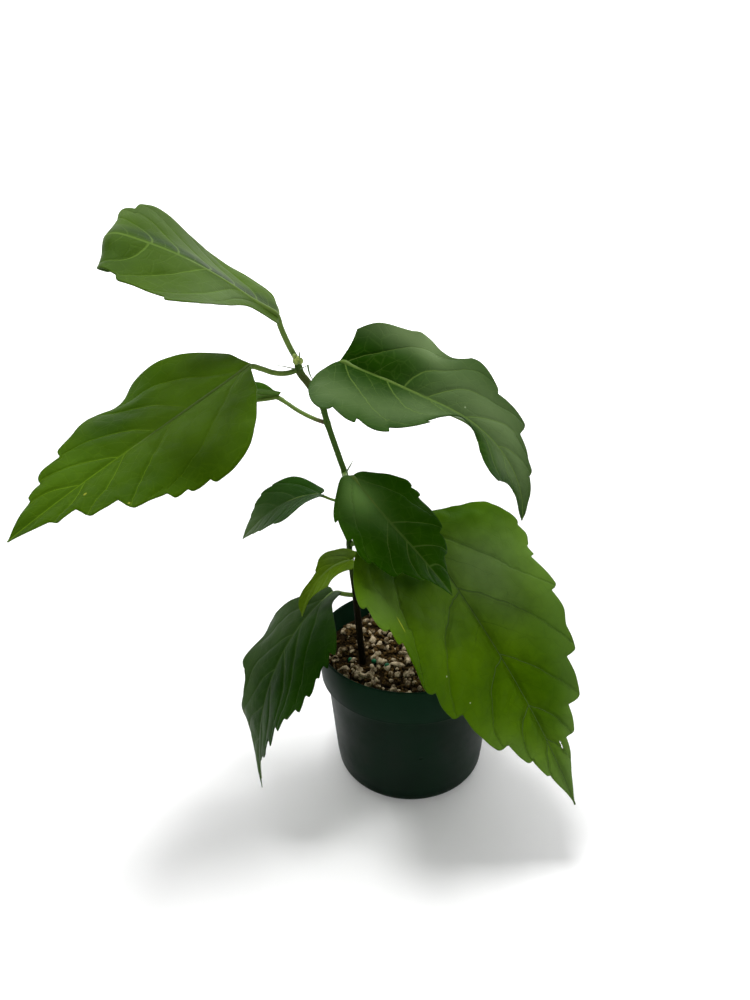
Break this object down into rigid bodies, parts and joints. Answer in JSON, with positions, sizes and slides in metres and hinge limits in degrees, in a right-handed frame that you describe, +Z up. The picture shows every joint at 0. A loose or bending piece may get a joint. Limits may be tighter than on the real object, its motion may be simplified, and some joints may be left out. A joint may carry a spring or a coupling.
{
  "type": "potted young hibiscus plant",
  "caption": "Young hibiscus with one leaning woody stem and large toothed leaves on long stalks, in a round thin-walled plastic nursery pot filled with bark mix.",
  "frame": {"origin": "middle of the flat underside of the pot", "axes": "+Z up, +X to the right of the picture, +Y away from it"},
  "size_m": [0.2411, 0.155, 0.323],
  "materials": {
    "pot_plastic": "satin",
    "bark_mix": "matte",
    "stem_bark": "matte",
    "leaf": "satin",
    "bud": "matte"
  },
  "bodies": {
    "root": {"pot": "pot_plastic", "soil": "bark_mix", "stem": "stem_bark", "leaf_top": "leaf", "leaf_left": "leaf", "leaf_right": "leaf", "leaf_back": "leaf", "leaf_centre": "leaf", "leaf_small": "leaf", "leaf_big": "leaf", "leaf_twisted": "leaf", "leaf_low": "leaf", "buds": "bud"}
  },
  "joints": []
}
